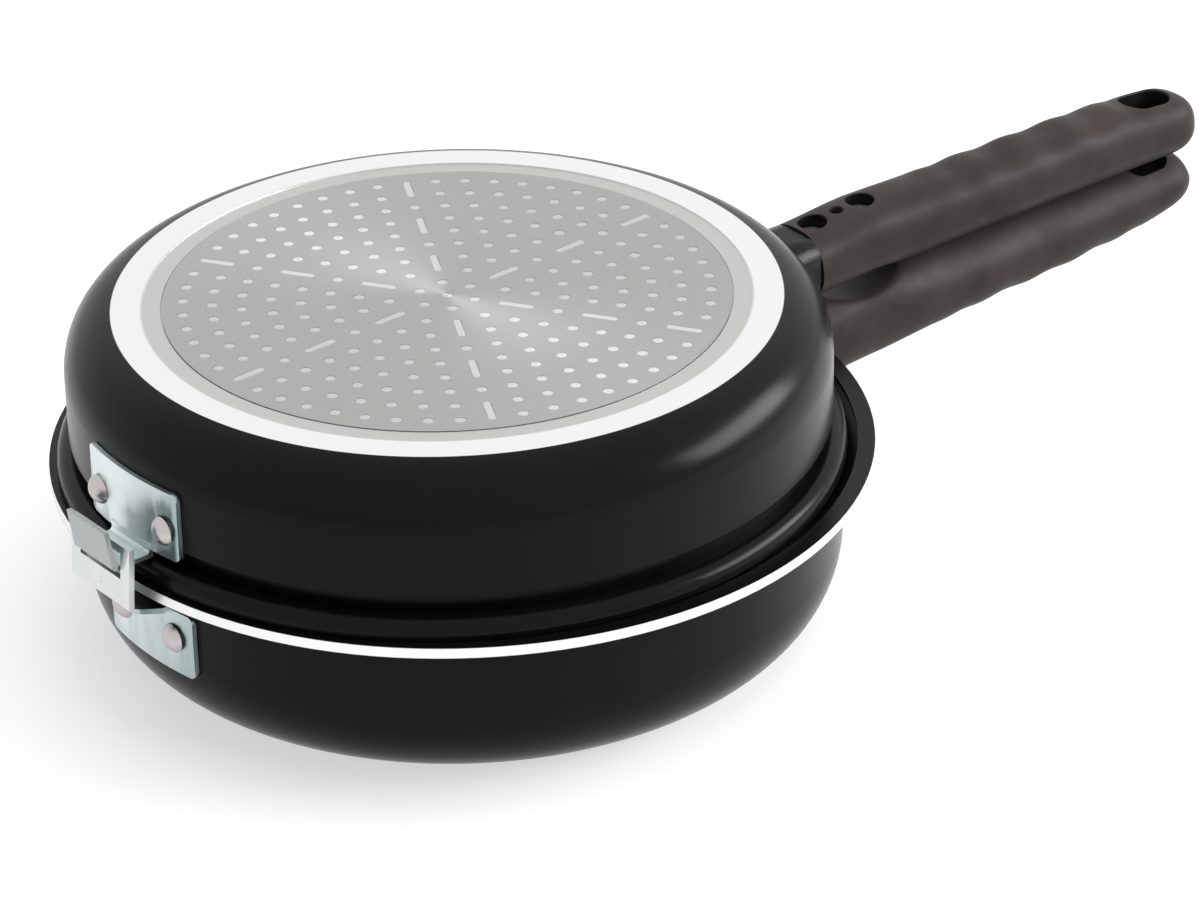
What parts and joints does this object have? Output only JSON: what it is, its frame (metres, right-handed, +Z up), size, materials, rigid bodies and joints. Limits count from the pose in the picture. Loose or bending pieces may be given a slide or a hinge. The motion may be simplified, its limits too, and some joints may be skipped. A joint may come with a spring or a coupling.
{
  "type": "double sided flip pan",
  "caption": "Double sided flip pan: two round frying pans closed mouth to mouth on a hook hinge, each with its own long grip, for turning an omelette over.",
  "frame": {"origin": "centre of the lower pan's base on the surface it stands on", "axes": "+X from the hinge to the handles, +Z up, +Y across"},
  "size_m": [0.4409, 0.2506, 0.1065],
  "materials": {
    "pan_enamel": "gloss black enamel outside and non-stick inside on spun aluminium, bare at the machined base band and the rim edge",
    "disc_steel": "fine turned steel sheet with bright aluminium-filled perforations",
    "hinge_zinc": "satin bluish zinc plating",
    "rivet_aluminium": "satin aluminium",
    "bracket_steel": "zinc plated steel strip",
    "collar_black": "satin black moulding",
    "grip_bakelite": "satin dark brown-black bakelite",
    "screw_steel": "bright zinc plated steel"
  },
  "bodies": {
    "lower_half": {"lower_pan": "pan_enamel", "lower_base_disc": "disc_steel", "lower_hinge_bracket": "hinge_zinc", "lower_hinge_rivets": "rivet_aluminium", "lower_handle_bracket": "bracket_steel", "lower_handle_rivets": "rivet_aluminium", "lower_collar": "collar_black", "lower_grip": "grip_bakelite", "lower_grip_screws": "screw_steel", "lower_screw_washers": "screw_steel"},
    "upper_half": {"upper_pan": "pan_enamel", "upper_base_disc": "disc_steel", "upper_hinge_bracket": "hinge_zinc", "upper_hinge_rivets": "rivet_aluminium", "upper_handle_bracket": "bracket_steel", "upper_handle_rivets": "rivet_aluminium", "upper_collar": "collar_black", "upper_grip": "grip_bakelite", "upper_grip_screws": "screw_steel", "upper_screw_washers": "screw_steel"}
  },
  "joints": [
    {"name": "lid_hinge", "type": "hinge", "parent": "lower_half", "child": "upper_half", "pos_m": [-0.1302, 0, 0.07075], "axis": [0, -1, 0], "range_deg": [0, 180]}
  ]
}
